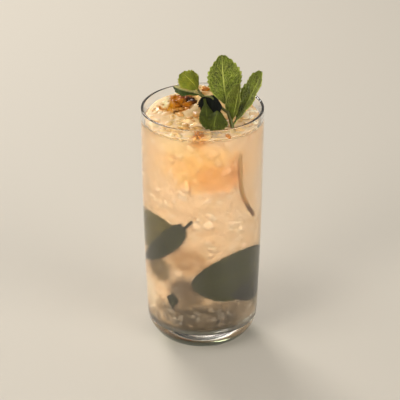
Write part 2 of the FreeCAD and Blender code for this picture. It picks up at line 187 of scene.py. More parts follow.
def turned(profile, steps):
    """A profile of (radius, height) pairs spun round the axis into a closed skin."""
    bm = bmesh.new()
    points = [bm.verts.new((radius, 0, height)) for radius, height in profile]
    edges = [bm.edges.new(pair) for pair in zip(points, points[1:])]
    bmesh.ops.spin(
        bm, geom=points + edges, cent=(0, 0, 0), axis=(0, 0, 1), angle=2 * math.pi,
        steps=steps, use_merge=True, use_duplicate=False,
    )
    bmesh.ops.remove_doubles(bm, verts=bm.verts, dist=1e-6)
    return bm


def arc_points(centre, radius, start, end, count):
    """Places on an arc, with its angles in radians from the outward direction."""
    return [
        (centre[0] + radius * math.cos(start + (end - start) * n / count),
         centre[1] + radius * math.sin(start + (end - start) * n / count))
        for n in range(count + 1)
    ]


# ================================================================ shader helpers


def new_material(name):
    material = bpy.data.materials.new(name)
    material.use_nodes = True
    nodes = material.node_tree.nodes
    return material, nodes, material.node_tree.links, nodes["Principled BSDF"]


def add(nodes, kind, **settings):
    """A node with its properties; inputs is a table of its sockets' values by name."""
    node = nodes.new(kind)
    inputs = settings.pop("inputs", {})
    for key, value in settings.items():
        setattr(node, key, value)
    for key, value in inputs.items():
        node.inputs[key].default_value = value
    return node


def set_sockets(node, **values):
    """Sets a node's own sockets, named with _ for each space."""
    for key, value in values.items():
        node.inputs[key.replace("_", " ")].default_value = value


def math_node(nodes, links, operation, a, b=None, clamp=False):
    node = add(nodes, "ShaderNodeMath", operation=operation, use_clamp=clamp)
    for socket, value in zip(node.inputs, (a, b)):
        if value is None:
            continue
        if isinstance(value, (int, float)):
            socket.default_value = value
        else:
            links.new(value, socket)
    return node.outputs[0]


def mix_colour(nodes, links, share, first, second):
    node = add(nodes, "ShaderNodeMix", data_type="RGBA")
    for socket, value in ((node.inputs[0], share), (node.inputs[6], first), (node.inputs[7], second)):
        if isinstance(value, (int, float, tuple)):
            socket.default_value = value
        else:
            links.new(value, socket)
    return node.outputs[2]


def new_group(name, inputs, outputs):
    """An empty node group with named sockets, and its two end nodes."""
    tree = bpy.data.node_groups.new(name, "ShaderNodeTree")
    for label, kind, value in inputs:
        socket = tree.interface.new_socket(label, in_out="INPUT", socket_type=kind)
        if value is not None:
            socket.default_value = value
    for label, kind in outputs:
        tree.interface.new_socket(label, in_out="OUTPUT", socket_type=kind)
    return tree, tree.nodes.new("NodeGroupInput"), tree.nodes.new("NodeGroupOutput")


def place_group(nodes, tree, **inputs):
    node = nodes.new("ShaderNodeGroup")
    node.node_tree = tree
    set_sockets(node, **inputs)
    return node


def blob_group():
    """A soft-edged ball of tint: 1 at its centre, 0 at its radius."""
    tree, start, end = new_group(
        "soft_blob",
        [("Vector", "NodeSocketVector", None), ("Centre", "NodeSocketVector", (0, 0, 0)),
         ("Reach", "NodeSocketVector", (1, 1, 1)), ("Ragged", "NodeSocketFloat", 0.3)],
        [("Mask", "NodeSocketFloat")],
    )
    nodes, links = tree.nodes, tree.links
    rough = add(nodes, "ShaderNodeTexNoise", inputs={"Scale": 95.0, "Detail": 3.0})
    links.new(start.outputs["Vector"], rough.inputs["Vector"])
    away = add(nodes, "ShaderNodeVectorMath", operation="SUBTRACT")
    links.new(start.outputs["Vector"], away.inputs[0])
    links.new(start.outputs["Centre"], away.inputs[1])
    share = add(nodes, "ShaderNodeVectorMath", operation="DIVIDE")
    links.new(away.outputs[0], share.inputs[0])
    links.new(start.outputs["Reach"], share.inputs[1])
    length = add(nodes, "ShaderNodeVectorMath", operation="LENGTH")
    links.new(share.outputs[0], length.inputs[0])
    wander = math_node(nodes, links, "SUBTRACT", rough.outputs["Fac"], 0.5)
    wander = math_node(nodes, links, "MULTIPLY", wander, start.outputs["Ragged"])
    total = math_node(nodes, links, "ADD", length.outputs["Value"], wander)
    mask = add(nodes, "ShaderNodeMapRange", interpolation_type="SMOOTHSTEP",
               inputs={"From Min": 1.0, "From Max": 0.4, "To Min": 0.0, "To Max": 1.0})
    links.new(total, mask.inputs["Value"])
    links.new(mask.outputs[0], end.inputs["Mask"])
    return tree


def mottle_group():
    """Uneven patches at three sizes, for ice, liquid and leaves alike."""
    tree, start, end = new_group(
        "mottle",
        [("Vector", "NodeSocketVector", None), ("Patch Scale", "NodeSocketFloat", 120.0),
         ("Grain Scale", "NodeSocketFloat", 900.0)],
        [("Patches", "NodeSocketFloat"), ("Grain", "NodeSocketFloat"), ("Facets", "NodeSocketFloat")],
    )
    nodes, links = tree.nodes, tree.links
    patches = add(nodes, "ShaderNodeTexNoise", inputs={"Detail": 2.0, "Roughness": 0.55})
    grain = add(nodes, "ShaderNodeTexNoise", inputs={"Detail": 4.0, "Roughness": 0.6})
    facets = add(nodes, "ShaderNodeTexVoronoi", feature="F1", inputs={"Randomness": 1.0})
    for node, scale in ((patches, "Patch Scale"), (grain, "Grain Scale"), (facets, "Patch Scale")):
        links.new(start.outputs["Vector"], node.inputs["Vector"])
        links.new(start.outputs[scale], node.inputs["Scale"])
    shade = nodes.new("ShaderNodeSeparateColor")
    links.new(facets.outputs["Color"], shade.inputs[0])
    links.new(patches.outputs["Fac"], end.inputs["Patches"])
    links.new(grain.outputs["Fac"], end.inputs["Grain"])
    links.new(shade.outputs[0], end.inputs["Facets"])
    return tree


def vein_group():
    """A mint leaf's veins from its own UV: share along the leaf, and across it."""
    tree, start, end = new_group(
        "leaf_veins",
        [("Pairs", "NodeSocketFloat", VEIN_PAIRS), ("Sweep", "NodeSocketFloat", VEIN_SWEEP)],
        [("Veins", "NodeSocketFloat"), ("Pillows", "NodeSocketFloat"), ("Edge", "NodeSocketFloat"),
         ("Half", "NodeSocketFloat")],
    )
    nodes, links = tree.nodes, tree.links
    uv = nodes.new("ShaderNodeUVMap")
    uv.uv_map = "leaf"
    split = nodes.new("ShaderNodeSeparateXYZ")
    links.new(uv.outputs[0], split.inputs[0])
    along = split.outputs[0]
    across = math_node(nodes, links, "ABSOLUTE", math_node(nodes, links, "SUBTRACT", split.outputs[1], 0.5))
    across = math_node(nodes, links, "MULTIPLY", across, 2.0)
    steps = math_node(nodes, links, "MULTIPLY", along, start.outputs["Pairs"])
    sweep = math_node(nodes, links, "MULTIPLY", across, start.outputs["Sweep"])
    wobble = add(nodes, "ShaderNodeTexNoise", inputs={"Scale": 7.0, "Detail": 1.0})
    links.new(uv.outputs[0], wobble.inputs["Vector"])
    wander = math_node(nodes, links, "MULTIPLY", wobble.outputs["Fac"], 1.4)
    place = math_node(nodes, links, "ADD", math_node(nodes, links, "SUBTRACT", steps, sweep), wander)
    wave = math_node(nodes, links, "PINGPONG", place, 0.5)
    side = add(nodes, "ShaderNodeMapRange", interpolation_type="SMOOTHSTEP",
               inputs={"From Min": 0.0, "From Max": 0.14, "To Min": 1.0, "To Max": 0.0})
    links.new(wave, side.inputs["Value"])
    midrib = add(nodes, "ShaderNodeMapRange", interpolation_type="SMOOTHSTEP",
                 inputs={"From Min": 0.015, "From Max": 0.085, "To Min": 1.0, "To Max": 0.0})
    links.new(across, midrib.inputs["Value"])
    # A net of fine veins between the main ones; its pale lines are partly painted highlight on the quilted
    # skin.
    net = add(nodes, "ShaderNodeTexVoronoi", feature="DISTANCE_TO_EDGE", inputs={"Scale": 30.0})
    links.new(uv.outputs[0], net.inputs["Vector"])
    mesh = add(nodes, "ShaderNodeMapRange",
               inputs={"From Min": 0.0, "From Max": 0.26, "To Min": 0.7, "To Max": 0.0})
    links.new(net.outputs["Distance"], mesh.inputs["Value"])
    fade = math_node(nodes, links, "SUBTRACT", 1.0, math_node(nodes, links, "MULTIPLY", across, 0.35))
    veins = math_node(nodes, links, "MULTIPLY", side.outputs[0], fade)
    veins = math_node(nodes, links, "MAXIMUM", veins, mesh.outputs[0])
    veins = math_node(nodes, links, "MAXIMUM", veins, midrib.outputs[0], clamp=True)
    links.new(veins, end.inputs["Veins"])
    pillow = math_node(nodes, links, "SUBTRACT", 1.0, veins, clamp=True)
    links.new(pillow, end.inputs["Pillows"])
    # Edge mask: the leaf's paler margin, which also carries painted rim light.
    rim = add(nodes, "ShaderNodeMapRange", interpolation_type="SMOOTHSTEP",
              inputs={"From Min": 0.86, "From Max": 1.0, "To Min": 0.0, "To Max": 1.0})
    links.new(across, rim.inputs["Value"])
    links.new(rim.outputs[0], end.inputs["Edge"])
    # Mask of the far half, where the low leaf's finish paints its highlight.
    half = add(nodes, "ShaderNodeMapRange", interpolation_type="SMOOTHSTEP",
               inputs={"From Min": 0.84, "From Max": 0.74, "To Min": 0.0, "To Max": 1.0})
    links.new(split.outputs[1], half.inputs["Value"])
    links.new(half.outputs[0], end.inputs["Half"])
    return tree


BLOB = blob_group()
MOTTLE = mottle_group()
VEINS = vein_group()


def let_light_through(material, nodes, links, shader, tint):
    """Light reaches what is inside: shadow rays pass straight on, a little dimmed."""
    output = nodes["Material Output"]
    path = nodes.new("ShaderNodeLightPath")
    clear = add(nodes, "ShaderNodeBsdfTransparent", inputs={"Color": tint})
    mix = nodes.new("ShaderNodeMixShader")
    links.new(path.outputs["Is Shadow Ray"], mix.inputs[0])
    links.new(shader.outputs[0], mix.inputs[1])
    links.new(clear.outputs[0], mix.inputs[2])
    links.new(mix.outputs[0], output.inputs["Surface"])
    return material


def clear_glass():
    """Clear glass that looks olive in the thick base."""
    material, nodes, links, shader = new_material("clear_glass")
    where = nodes.new("ShaderNodeTexCoord").outputs["Object"]
    blob = place_group(nodes, BLOB, Centre=(0, 0, 4.0 * MM), Reach=(0.1, 0.1, 6.5 * MM), Ragged=0.1)
    links.new(where, blob.inputs["Vector"])
    share = math_node(nodes, links, "MULTIPLY", blob.outputs["Mask"], 0.9, clamp=True)
    colour = mix_colour(nodes, links, share, (0.985, 0.992, 0.988, 1), srgb(62, 74, 12))
    links.new(colour, shader.inputs["Base Color"])
    set_sockets(shader, Roughness=0.0, IOR=1.5, Transmission_Weight=1.0)
    return let_light_through(material, nodes, links, shader, (0.96, 0.97, 0.965, 1))


def clear_liquid():
    """The thin liquid: a little cloudy, so that what lies deeper looks softer."""
    material, nodes, links, shader = new_material("thin_liquid")
    set_sockets(shader, Base_Color=(0.99, 0.955, 0.88, 1), Roughness=0.34, IOR=1.33,
                Transmission_Weight=1.0)
    return let_light_through(material, nodes, links, shader, (0.985, 0.97, 0.94, 1))


# Tints laid over a thing's own colour: centre and reach in mm, how much, and the colour.
DRINK_TINTS = (
    ((0, -26, 118), (28, 40, 20), 0.85, srgb(236, 176, 90)),
    ((9, -28, 111), (19, 24, 13), 0.55, srgb(222, 142, 62)),
    ((17, -24, 115), (5, 9, 14), 0.50, srgb(204, 128, 50)),
    ((-14, -27, 130), (17, 20, 8), 0.50, srgb(240, 204, 138)),
    ((0, 0, 141), (60, 60, 8), 0.90, srgb(222, 182, 112)),
    ((-2, -30, 136), (7, 9, 9), 0.85, srgb(204, 134, 36)),
    ((-29, -12, 71), (12, 20, 16), 0.90, srgb(104, 88, 26)),
    ((-8, -27, 58), (15, 18, 12), 0.75, srgb(160, 110, 50)),
    ((-23, -16, 50), (13, 15, 13), 0.92, srgb(96, 72, 22)),
    ((-9, -27, 39), (17, 18, 12), 0.92, srgb(76, 50, 8)),
    ((2, -20, 20), (40, 46, 18), 0.97, srgb(76, 56, 20)),
    ((-29, -6, 28), (8, 16, 14), 0.97, srgb(244, 216, 180)),
    ((33, -4, 98), (8, 24, 38), 0.55, srgb(240, 214, 188)),
    ((31, -4, 34), (8, 22, 26), 0.80, srgb(92, 84, 30)),
    ((0, 0, 9), (36, 36, 1.6), 0.90, srgb(80, 90, 24)),
)
CROWN_TINTS = (
    ((-26, -4, 137), (11, 16, 9), 0.85, srgb(236, 210, 170)),
    ((-5, -12, 138), (9, 12, 8), 0.75, srgb(196, 140, 70)),
    ((-15, -14, 138), (7, 8, 6), 0.65, srgb(226, 188, 112)),
    ((31, -2, 138), (9, 22, 9), 0.95, srgb(246, 228, 196)),
    ((4, 22, 143), (9, 8, 6), 0.60, srgb(242, 204, 144)),
    ((-1, -29, 134), (6, 7, 6), 0.85, srgb(208, 136, 36)),
    ((-12, -1, 137), (14, 6, 5), 0.75, srgb(232, 170, 90)),
)
AMBER_TINTS = (
    ((-12, 2, 137), (13, 4.5, 4), 0.90, srgb(238, 176, 90)),
    ((-4, 5, 139), (6, 6, 5), 0.70, srgb(226, 140, 44)),
    ((-19, 5, 140), (4, 6, 4), 0.70, srgb(206, 140, 10)),
    ((-6, 11, 142), (6.5, 6, 5), 0.95, srgb(48, 18, 0)),
    ((-11, 12, 144), (4, 4, 3), 0.80, srgb(156, 62, 20)),
    ((-21.5, 11, 141), (3.8, 10, 5), 0.97, srgb(246, 224, 170)),
    ((-16, 18, 143), (8, 3.6, 5), 0.92, srgb(246, 220, 160)),
    ((-15, 1.0, 137.5), (3, 2.5, 2.5), 0.85, srgb(84, 44, 6)),
)


def tinted(nodes, links, where, colour, tints):
    """Lays soft patches of tint over a colour."""
    for centre, reach, share, tint in tints:
        blob = place_group(nodes, BLOB, Centre=[c * MM for c in centre],
                           Reach=[r * MM for r in reach], Ragged=0.5)
        links.new(where, blob.inputs["Vector"])
        amount = math_node(nodes, links, "MULTIPLY", blob.outputs["Mask"], share)
        colour = mix_colour(nodes, links, amount, colour, tint)
    return colour


def cloudy_colour(nodes, links, base):
    """The drink's colour at each place: pale peach with its tints and a soft mottle."""
    where = nodes.new("ShaderNodeTexCoord").outputs["Object"]
    mottle = place_group(nodes, MOTTLE, Patch_Scale=75.0, Grain_Scale=700.0)
    links.new(where, mottle.inputs["Vector"])
    colour = tinted(nodes, links, where, base, DRINK_TINTS)
    pale = math_node(nodes, links, "SUBTRACT", mottle.outputs["Patches"], 0.52)
    pale = math_node(nodes, links, "MULTIPLY", pale, 0.7, clamp=True)
    colour = mix_colour(nodes, links, pale, colour, srgb(244, 220, 194))
    dark = math_node(nodes, links, "SUBTRACT", 0.44, mottle.outputs["Patches"])
    dark = math_node(nodes, links, "MULTIPLY", dark, 1.0, clamp=True)
    colour = mix_colour(nodes, links, dark, colour, srgb(168, 126, 76))
    return colour, mottle


def cloudy_drink():
    """The packed, cloudy inside of the drink."""
    material, nodes, links, shader = new_material("cloudy_drink")
    colour, mottle = cloudy_colour(nodes, links, srgb(224, 184, 140))
    links.new(colour, shader.inputs["Base Color"])
    set_sockets(shader, Roughness=0.6, Subsurface_Weight=0.3, Subsurface_Radius=(1.0, 0.8, 0.6),
                Subsurface_Scale=0.004)
    bump = add(nodes, "ShaderNodeBump", inputs={"Strength": 0.2, "Distance": 0.0006})
    links.new(mottle.outputs["Patches"], bump.inputs["Height"])
    links.new(bump.outputs[0], shader.inputs["Normal"])
    return material


def sunk_ice():
    """Crushed ice under the liquid: nearly the drink's own colour, soft at its edges."""
    material, nodes, links, shader = new_material("sunk_ice")
    colour, mottle = cloudy_colour(nodes, links, srgb(232, 194, 152))
    facet = math_node(nodes, links, "MULTIPLY", mottle.outputs["Facets"], 0.10)
    colour = mix_colour(nodes, links, facet, colour, srgb(250, 234, 216))
    links.new(colour, shader.inputs["Base Color"])
    set_sockets(shader, Roughness=0.45, Subsurface_Weight=0.4, Subsurface_Radius=(1.0, 0.8, 0.6),
                Subsurface_Scale=0.0015)
    return material


def wet_ice(name, base, deep, tints, glow, patch, shine):
    """Crushed ice in the open: a wet skin over a soft white or amber body."""
    material, nodes, links, shader = new_material(name)
    where = nodes.new("ShaderNodeTexCoord").outputs["Object"]
    mottle = place_group(nodes, MOTTLE, Patch_Scale=patch, Grain_Scale=1100.0)
    links.new(where, mottle.inputs["Vector"])
    share = math_node(nodes, links, "MULTIPLY", mottle.outputs["Facets"], 0.35)
    patches = math_node(nodes, links, "SUBTRACT", mottle.outputs["Patches"], 0.3)
    share = math_node(nodes, links, "ADD", share, patches, clamp=True)
    colour = mix_colour(nodes, links, share, base, deep)
    colour = tinted(nodes, links, where, colour, tints)
    links.new(colour, shader.inputs["Base Color"])
    set_sockets(shader, Roughness=0.32, IOR=1.33, Subsurface_Weight=glow,
                Subsurface_Radius=(1.0, 0.8, 0.6), Subsurface_Scale=0.001, Coat_Weight=shine,
                Coat_Roughness=0.08)
    bump = add(nodes, "ShaderNodeBump", inputs={"Strength": 0.3, "Distance": 0.0003})
    links.new(mottle.outputs["Grain"], bump.inputs["Height"])
    links.new(bump.outputs[0], shader.inputs["Normal"])
    return material


def glassy_ice():
    """Clear melting ice among the rest."""
    material, nodes, links, shader = new_material("clear_ice")
    set_sockets(shader, Base_Color=(0.99, 0.975, 0.95, 1), Roughness=0.06, IOR=1.31,
                Transmission_Weight=1.0)
    return let_light_through(material, nodes, links, shader, (0.98, 0.965, 0.94, 1))


# Leaf finishes: skin, darker patches, veins, glow, roughness, and the far half where it differs. Some are
# lit or shaded copies of one leaf, with painted light or painted shade in their colours.
LEAF_FINISHES = {
    "mint_leaf": (srgb(124, 144, 0), srgb(20, 34, 0), srgb(226, 232, 112), 0.1, 0.48),
    # Painted light: a lighter copy of the leaf for the round leaf at the top of the sprig, where the light
    # falls.
    "mint_leaf_painted_lit": (srgb(184, 186, 10), srgb(104, 124, 0), srgb(230, 226, 96), 0.15, 0.5),
    # Painted shade: a darker copy of the leaf for the front and hanging leaves, which face down, away from
    # the light.
    "mint_leaf_painted_half_shade": (srgb(84, 94, 0), srgb(28, 36, 0), srgb(140, 152, 54), 0.05, 0.55),
    # Painted shade and painted highlight: the low leaf's near half is dark as if in shade, and its far half
    # is painted a pale lit cream.
    "mint_leaf_ridge_painted_light_shade": (srgb(70, 84, 22), srgb(40, 54, 16), srgb(110, 130, 60), 0.15, 0.5,
                        srgb(250, 240, 150)),
    # Painted shade: a near-black copy of the leaf for the leaf that lies in the shadow of the others.
    "mint_leaf_shaded": (srgb(10, 18, 4), srgb(4, 8, 2), srgb(18, 28, 8), 0.0, 0.8),
    "mint_leaf_sunk": (srgb(54, 52, 0), srgb(26, 26, 0), srgb(74, 72, 0), 0.0, 0.7),
    # Painted shade: a near-black finish for the leaf laid where a fold lies in shade.
    "mint_leaf_sunk_painted_shade": (srgb(20, 14, 0), srgb(10, 8, 0), srgb(34, 28, 0), 0.0, 0.7),
    "mint_leaf_veiled": (srgb(112, 96, 20), srgb(90, 74, 12), srgb(128, 112, 34), 0.1, 0.7),
}
FINISH_OF_LEAF = {
    "round": "mint_leaf_painted_lit", "low": "mint_leaf_ridge_painted_light_shade", "shaded": "mint_leaf_shaded",
    "front": "mint_leaf_painted_half_shade", "hanging": "mint_leaf_painted_half_shade",
}


def mint_leaf(name, light, dark, vein, glow, rough, painted_lit_half=None):
    """A leaf with pale veins, pillowed skin between them and a lighter saw edge. The pale veins are partly
    painted highlight, the edge partly painted rim light, and a finish may paint a highlight over the far
    half.
    """
    material, nodes, links, shader = new_material(name)
    where = nodes.new("ShaderNodeTexCoord").outputs["Object"]
    mottle = place_group(nodes, MOTTLE, Patch_Scale=210.0, Grain_Scale=1300.0)
    links.new(where, mottle.inputs["Vector"])
    veins = place_group(nodes, VEINS, Pairs=VEIN_PAIRS, Sweep=VEIN_SWEEP)
    patches = math_node(nodes, links, "SUBTRACT", mottle.outputs["Patches"], 0.36)
    patches = math_node(nodes, links, "MULTIPLY", patches, 3.2, clamp=True)
    skin = mix_colour(nodes, links, patches, light, dark)
    grain = math_node(nodes, links, "SUBTRACT", mottle.outputs["Grain"], 0.42)
    grain = math_node(nodes, links, "MULTIPLY", grain, 3.2, clamp=True)
    skin = mix_colour(nodes, links, grain, skin, dark)
    # Pale veins and their net: partly the leaf's own paler veins, partly painted highlight along them.
    share = math_node(nodes, links, "MULTIPLY", veins.outputs["Veins"], 0.7)
    skin = mix_colour(nodes, links, share, skin, vein)
    # The lighter saw edge: partly the leaf's paler margin, partly painted rim light.
    edge = math_node(nodes, links, "MULTIPLY", veins.outputs["Edge"], 0.6)
    skin = mix_colour(nodes, links, edge, skin, vein)
    # Painted highlight over the far half, for the finish that has one.
    if painted_lit_half:
        skin = mix_colour(nodes, links, veins.outputs["Half"], skin, painted_lit_half)
    links.new(skin, shader.inputs["Base Color"])
    set_sockets(shader, Roughness=rough, Subsurface_Weight=glow, Subsurface_Radius=(0.6, 1.0, 0.2),
                Subsurface_Scale=0.0015, Specular_IOR_Level=0.35)
    height = math_node(nodes, links, "ADD", veins.outputs["Pillows"],
                       math_node(nodes, links, "MULTIPLY", mottle.outputs["Grain"], 0.5))
    bump = add(nodes, "ShaderNodeBump", inputs={"Strength": 1.0, "Distance": 0.0009})
    links.new(height, bump.inputs["Height"])
    links.new(bump.outputs[0], shader.inputs["Normal"])
    return material


def mint_stem():
    """Green and brown above the drink, hazy tan in it, dark at its cut end."""
    material, nodes, links, shader = new_material("mint_stem")
    where = nodes.new("ShaderNodeTexCoord").outputs["Object"]
    mottle = place_group(nodes, MOTTLE, Patch_Scale=260.0, Grain_Scale=2600.0)
    links.new(where, mottle.inputs["Vector"])
    skin = mix_colour(nodes, links, mottle.outputs["Patches"], srgb(118, 124, 52), srgb(70, 62, 26))
    split = nodes.new("ShaderNodeSeparateXYZ")
    links.new(where, split.inputs[0])
    sunk = add(nodes, "ShaderNodeMapRange", inputs={"From Min": LEVEL - 2 * MM, "From Max": LEVEL + 2 * MM,
                                                    "To Min": 1.0, "To Max": 0.0})
    links.new(split.outputs[2], sunk.inputs["Value"])
    skin = mix_colour(nodes, links, sunk.outputs[0], skin, srgb(180, 132, 72))
    cut_end = add(nodes, "ShaderNodeMapRange", inputs={"From Min": 88 * MM, "From Max": 93 * MM,
                                                       "To Min": 1.0, "To Max": 0.0})
    links.new(split.outputs[2], cut_end.inputs["Value"])
    skin = mix_colour(nodes, links, cut_end.outputs[0], skin, srgb(104, 62, 12))
    links.new(skin, shader.inputs["Base Color"])
    set_sockets(shader, Roughness=0.5, Subsurface_Weight=0.15, Subsurface_Scale=0.001)
    bump = add(nodes, "ShaderNodeBump", inputs={"Strength": 0.4, "Distance": 0.0003})
    links.new(mottle.outputs["Grain"], bump.inputs["Height"])
    links.new(bump.outputs[0], shader.inputs["Normal"])
    return material


# ================================================================ the glass and its liquid


def inner_wall(outward, top, fine):
    """The cavity's profile from the wall at a height down to the floor's edge, moved outward."""
    inner_x = RIM_RADIUS - RIM_WALL - INNER_BOW
    corner_height = FLOOR + FLOOR_CORNER
    corner_x = inner_x + math.sqrt((INNER_BOW - FLOOR_CORNER) ** 2 - (RIM_HEIGHT - corner_height) ** 2)
    meeting = math.atan2(corner_height - RIM_HEIGHT, corner_x - inner_x)
    start = math.asin((top - RIM_HEIGHT) / INNER_BOW)
    near = math.asin((top - 1.2 * MM - RIM_HEIGHT) / INNER_BOW)
    wall = INNER_BOW + outward
    profile = arc_points((inner_x, RIM_HEIGHT), wall, start, near, 4)
    profile += arc_points((inner_x, RIM_HEIGHT), wall, near, meeting, fine)[1:]
    corner = FLOOR_CORNER + outward
    profile += arc_points((corner_x, corner_height), corner, meeting, -math.pi / 2, 16)[1:]
    return profile


def make_glass(material):
    """Foot, heel, bowed wall, fire-polished rim, inner wall, floor and the hollow under the foot."""
    height, radius = RIM_HEIGHT, RIM_RADIUS
    wall_x = radius - GLASS_BOW
    reach = GLASS_BOW - HEEL_ROUND
    heel_x = wall_x + math.sqrt(reach**2 - (height - HEEL_HEIGHT) ** 2)
    meeting = math.atan2(HEEL_HEIGHT - height, heel_x - wall_x)
    foot_angle = -math.asin(HEEL_HEIGHT / HEEL_ROUND)
    punt_curve = (PUNT_RADIUS**2 + PUNT_DEPTH**2) / (2 * PUNT_DEPTH)
    punt_end = math.atan2(punt_curve - PUNT_DEPTH, PUNT_RADIUS)
    profile = arc_points((0, PUNT_DEPTH - punt_curve), punt_curve, math.pi / 2, punt_end, 10)
    profile.append((PUNT_RADIUS + 0.4 * MM, 0))
    heel = arc_points((heel_x, HEEL_HEIGHT), HEEL_ROUND, foot_angle, meeting, 20)
    foot_x = heel[0][0]
    profile += [(foot_x - 0.6 * MM, 0), (foot_x - 0.1 * MM, 0.08 * MM)]
    profile += [point for point in heel if point[1] > 0.3 * MM]
    top = math.asin(-RIM_ROUND / GLASS_BOW)
    near = math.asin(-1.8 * MM / GLASS_BOW)
    profile += arc_points((wall_x, height), GLASS_BOW, meeting, near, 26)[1:]
    profile += arc_points((wall_x, height), GLASS_BOW, near, top, 4)[1:]
    edge = height - RIM_ROUND
    profile += arc_points((radius - RIM_ROUND, edge), RIM_ROUND, 0, math.pi / 2, 6)[1:]
    inner_edge = radius - RIM_WALL + RIM_ROUND
    profile += arc_points((inner_edge, edge), RIM_ROUND, math.pi / 2, math.pi, 6)[:-1]
    inner = inner_wall(0, edge, 26)
    profile += inner + [(inner[-1][0] * 0.5, FLOOR), (0, FLOOR)]
    piece = new_piece("glass_body", turned(profile, 160), material)
    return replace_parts(piece, "glass")


def make_liquid(material):
    """The thin liquid, which reaches just into the wall and climbs a little at its edge."""
    into = 0.25 * MM
    edge = inner_radius(LEVEL)
    profile = [(0, LEVEL), (edge * 0.6, LEVEL)]
    for inward, rise in ((2.0, 0.02), (1.0, 0.1), (0.4, 0.3), (0.0, 0.6)):
        profile.append((edge - inward * MM, LEVEL + rise * MM))
    profile += inner_wall(into, LEVEL + 0.6 * MM, 24) + [(0, FLOOR - into)]
    piece = new_piece("thin_liquid", turned(profile, 128), material)
    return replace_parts(piece, "drink")


def make_core(material):
    """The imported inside: a lumpy body that follows the glass a little way in, and the heap on top."""
    bm = bmesh.new()
    bmesh.ops.create_grid(bm, x_segments=200, y_segments=190, size=0.5)
    low = FLOOR + 0.5 * MM
    for vert in bm.verts:
        angle = 2 * math.pi * (vert.co.x + 0.5)
        share = vert.co.y + 0.5
        height = low + (LEVEL + 0.5 * MM - low) * min(1.0, share / CORE_SIDE)
        radius = inner_radius(height) - CORE_GAP
        if share > CORE_SIDE:
            radius = (inner_radius(LEVEL) - 0.5 * MM) * (1 - share) / (1 - CORE_SIDE)
        x, y = radius * math.cos(angle), radius * math.sin(angle)
        out = Vector((math.cos(angle), math.sin(angle), 0))
        if share > CORE_SIDE:
            height = heap_height(x, y) - 0.15 * MM
            out = Vector((0, 0, 1))
        place = Vector((x, y, height))
        cracked = noise.voronoi(place * 170)[0][0]
        lump = noise.noise(place * 90) * 0.7 + (0.45 - cracked) * 0.9
        vert.co = place + out * lump * MM
    bmesh.ops.remove_doubles(bm, verts=bm.verts, dist=3e-5)
    rim = [edge for edge in bm.edges if edge.is_boundary]
    bmesh.ops.holes_fill(bm, edges=rim, sides=0)
    bmesh.ops.triangulate(bm, faces=[f for f in bm.faces if len(f.verts) > 4])
    return new_piece("cloudy_core", bm, material)


# ================================================================ crushed ice


def chunk_shapes(source, count):
    """Worn lumps of ice about 1 across, to be copied: rounded cubes with a few flats."""
    shapes = []
    for _ in range(count):
        bm = bmesh.new()
        bmesh.ops.create_cube(bm, size=1.0)
        bmesh.ops.subdivide_edges(bm, edges=bm.edges[:], cuts=1, use_grid_fill=True)
        for vert in bm.verts:
            vert.co = vert.co * 0.45 + vert.co.normalized() * 0.32
        for _ in range(5):
            facing = Vector([source.uniform(-1, 1) for _ in range(3)]).normalized()
            flat = source.uniform(0.26, 0.40)
            for vert in bm.verts:
                vert.co -= facing * max(0.0, vert.co.dot(facing) - flat)
        for vert in bm.verts:
            vert.co += Vector([source.uniform(-0.04, 0.04) for _ in range(3)])
        bmesh.ops.recalc_face_normals(bm, faces=bm.faces)
        mesh = bpy.data.meshes.new("chunk")
        bm.to_mesh(mesh)
        bm.free()
        shapes.append(mesh)
    return shapes


def scatter(places, source, count):
    """One mesh with a chunk at each place: where, width, thickness against width, and tilt."""
    shapes = chunk_shapes(source, count)
    bm = bmesh.new()
    for where, width, flat, facing in places:
        first = len(bm.verts)
        bm.from_mesh(source.choice(shapes))
        bm.verts.ensure_lookup_table()
        lean = Vector([source.uniform(-0.35, 0.35) for _ in range(3)])
        turn = (facing + lean).to_track_quat("Z", "Y").to_matrix().to_4x4()
        spin = Matrix.Rotation(source.uniform(0, 2 * math.pi), 4, "Z")
        stretch = Matrix.Diagonal((width, width * source.uniform(0.6, 1.0), width * flat, 1))
        bmesh.ops.transform(bm, matrix=Matrix.Translation(where) @ turn @ spin @ stretch,
                            verts=bm.verts[first:])
    for mesh in shapes:
        bpy.data.meshes.remove(mesh)
    return bm


def disc_places(source, radius, gap):
    """Places spread over a disc, none nearer to another than the gap."""
    places = []
    for _ in range(9000):
        x, y = source.uniform(-radius, radius), source.uniform(-radius, radius)
        if math.hypot(x, y) > radius:
            continue
        if all((x - a) ** 2 + (y - b) ** 2 > gap * gap for a, b in places):
            places.append((x, y))
    return places


AMBER_CENTRE = ((AMBER_LOW.x + AMBER_HIGH.x) / 2, (AMBER_LOW.y + AMBER_HIGH.y) / 2)
AMBER_REACH = (AMBER_HIGH.x - AMBER_LOW.x) / 2


def amber_share(x, y):
    """How far inside the amber lump a place is: 1 at its middle, 0 at its edge and beyond."""
    away = math.hypot(x - AMBER_CENTRE[0], y - AMBER_CENTRE[1]) / AMBER_REACH
    return max(0.0, 1 - away)


def near_mint(x, y, z):
    """True where a chunk would stand in the stem or in the leaves that lie on the ice."""
    where = Vector((x, y, z))
    return any((where - Vector(mint) * MM).length < MINT_CLEARANCE for mint in MINT_IN_ICE)


def melt_edges(piece):
    """Rounds the chunks of a piece, as melting does."""
    rounding = piece.modifiers.new("melt", "SUBSURF")
    rounding.levels = rounding.render_levels = 1
    return piece


